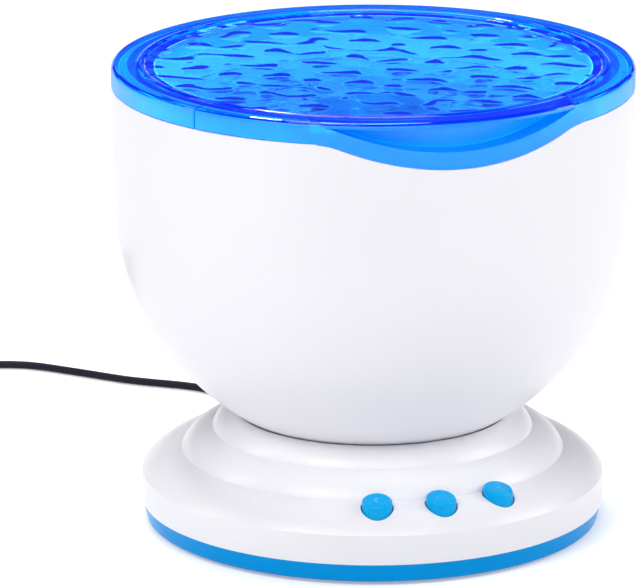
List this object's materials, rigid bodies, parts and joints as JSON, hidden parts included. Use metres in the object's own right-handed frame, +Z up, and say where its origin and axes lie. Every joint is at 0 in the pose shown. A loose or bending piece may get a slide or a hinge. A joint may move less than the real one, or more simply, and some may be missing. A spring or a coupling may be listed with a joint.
{
  "type": "ocean wave projector",
  "caption": "Round bedside lamp that throws rippling light upwards: a clear blue waved lid on a white bowl that tilts in a tiered base with push buttons and a USB cord.",
  "frame": {"origin": "on the table, under the middle of the round base", "axes": "+Z up, -Y to the front where the buttons and the finger notch are, cord leaving at +Y"},
  "size_m": [0.216, 0.255, 0.1161],
  "materials": {
    "white_abs": "smooth white ABS",
    "blue_plastic": "glossy blue ABS",
    "clear_blue": "clear blue acrylic",
    "clear_plastic": "clear acrylic",
    "led_epoxy": "clear epoxy",
    "foot_rubber": "matt",
    "cord_rubber": "matt dark PVC",
    "steel": "zinc plated",
    "plug_chrome": "nickel plated",
    "magnet_iron": "sintered ferrite",
    "cone_paper": "pressed paper",
    "board_green": "solder mask",
    "board_blue": "blue solder mask",
    "chip_black": "moulded",
    "capacitor_sleeve": "sleeved can",
    "ivory_nylon": "moulded nylon"
  },
  "bodies": {
    "base": {"base_housing": "white_abs", "base_plate": "blue_plastic", "rubber_feet": "foot_rubber", "base_screws": "steel", "speaker_frame": "steel", "speaker_magnet": "magnet_iron", "speaker_cone": "cone_paper", "speaker_gasket": "foot_rubber", "speaker_screws": "steel", "main_board": "board_green", "main_board_screws": "steel", "sound_chip": "chip_black", "capacitors": "capacitor_sleeve", "lead_sockets": "ivory_nylon", "key_board": "board_green", "key_board_screws": "steel", "tact_switches": "chip_black", "cord_gland": "cord_rubber", "cord_run": "cord_rubber", "cord_coil": "cord_rubber", "cord_tail": "cord_rubber", "cord_tie": "cord_rubber", "usb_plug_body": "cord_rubber", "usb_plug_shell": "plug_chrome"},
    "bowl": {"bowl_shell": "white_abs", "pivot_post": "steel", "pivot_nut": "steel", "tilt_washer": "ivory_nylon", "spring_washer": "steel", "lamp_deck": "blue_plastic", "deck_screws": "steel", "gear_motor": "steel", "motor_screws": "steel", "led_board": "board_blue", "led_screws": "steel", "leds": "led_epoxy", "lamp_lead": "cord_rubber"},
    "disc": {"drive_shaft": "steel", "disc_hub": "white_abs", "wave_disc": "clear_plastic", "disc_cap": "white_abs"},
    "lid": {"lid_rim": "clear_blue", "wave_lens": "clear_blue"},
    "left_button": {"button_left": "blue_plastic", "plunger_left": "chip_black"},
    "middle_button": {"button_middle": "blue_plastic", "plunger_middle": "chip_black"},
    "right_button": {"button_right": "blue_plastic", "plunger_right": "chip_black"}
  },
  "joints": [
    {"name": "bowl_tilt", "type": "hinge", "parent": "base", "child": "bowl", "pos_m": [0, 0, 0.0821], "axis": [1, 0, 0], "range_deg": [-22.5, 22.5]},
    {"name": "disc_spin", "type": "hinge", "parent": "bowl", "child": "disc", "pos_m": [0, 0, 0.1], "axis": [0, 0, 1], "continuous": true},
    {"name": "lid_lift", "type": "slide", "parent": "bowl", "child": "lid", "axis": [0, 0, 1], "range_m": [0, 0.04]},
    {"name": "left_press", "type": "slide", "parent": "base", "child": "left_button", "axis": [0, 0, -1], "range_m": [0, 0.001], "stiffness_N_per_m": 1500, "springref_m": -0.0005},
    {"name": "middle_press", "type": "slide", "parent": "base", "child": "middle_button", "axis": [0, 0, -1], "range_m": [0, 0.001], "stiffness_N_per_m": 1500, "springref_m": -0.0005},
    {"name": "right_press", "type": "slide", "parent": "base", "child": "right_button", "axis": [0, 0, -1], "range_m": [0, 0.001], "stiffness_N_per_m": 1500, "springref_m": -0.0005}
  ]
}
